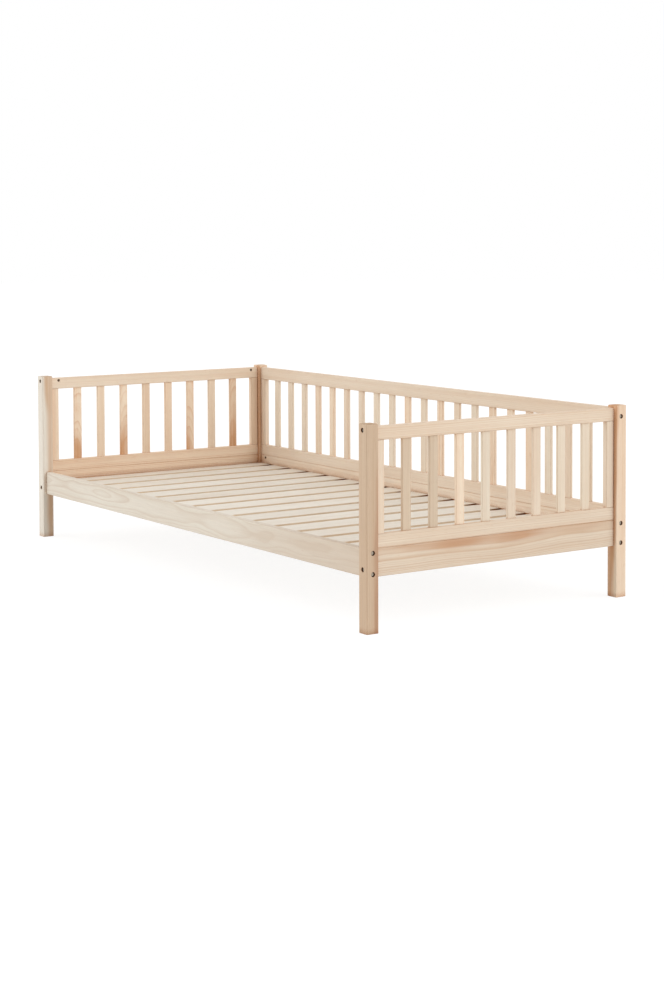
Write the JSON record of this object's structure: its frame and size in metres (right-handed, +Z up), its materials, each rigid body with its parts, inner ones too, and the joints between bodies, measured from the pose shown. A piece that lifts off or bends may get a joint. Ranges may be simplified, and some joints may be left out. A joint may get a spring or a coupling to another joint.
{
  "type": "low guarded single bed",
  "caption": "Low wooden child's bed with square corner posts, spindled guards at both ends and along the back, an open front and a slatted base.",
  "frame": {"origin": "on the floor, under the middle of the bed", "axes": "+X along the bed to the foot end, +Y to the guarded back, -Y to the open front, +Z up"},
  "size_m": [2.09, 0.97, 0.588],
  "materials": {
    "pine": "sanded pine under a clear matt lacquer",
    "beech": "plain turned beech",
    "zinc_steel": "bright zinc plating, slightly dulled"
  },
  "bodies": {
    "root": {"head_front_post": "pine", "head_back_post": "pine", "foot_front_post": "pine", "foot_back_post": "pine", "head_board": "pine", "foot_board": "pine", "back_board": "pine", "front_board": "pine", "head_top_rail": "pine", "head_bottom_rail": "pine", "head_front_stile": "pine", "head_back_stile": "pine", "foot_top_rail": "pine", "foot_bottom_rail": "pine", "foot_front_stile": "pine", "foot_back_stile": "pine", "back_top_rail": "pine", "back_bottom_rail": "pine", "back_head_stile": "pine", "back_foot_stile": "pine", "head_spindle_1": "pine", "head_spindle_2": "pine", "head_spindle_3": "pine", "head_spindle_4": "pine", "head_spindle_5": "pine", "head_spindle_6": "pine", "head_spindle_7": "pine", "head_spindle_8": "pine", "foot_spindle_1": "pine", "foot_spindle_2": "pine", "foot_spindle_3": "pine", "foot_spindle_4": "pine", "foot_spindle_5": "pine", "foot_spindle_6": "pine", "foot_spindle_7": "pine", "foot_spindle_8": "pine", "back_spindles": "pine", "slat_01": "pine", "slat_02": "pine", "slat_03": "pine", "slat_04": "pine", "slat_05": "pine", "slat_06": "pine", "slat_07": "pine", "slat_08": "pine", "slat_09": "pine", "slat_10": "pine", "slat_11": "pine", "slat_12": "pine", "slat_13": "pine", "slat_14": "pine", "slat_15": "pine", "slat_16": "pine", "front_ledge": "pine", "back_ledge": "pine", "dowels": "beech", "connector_bolts": "zinc_steel", "barrel_nuts": "zinc_steel"}
  },
  "joints": []
}
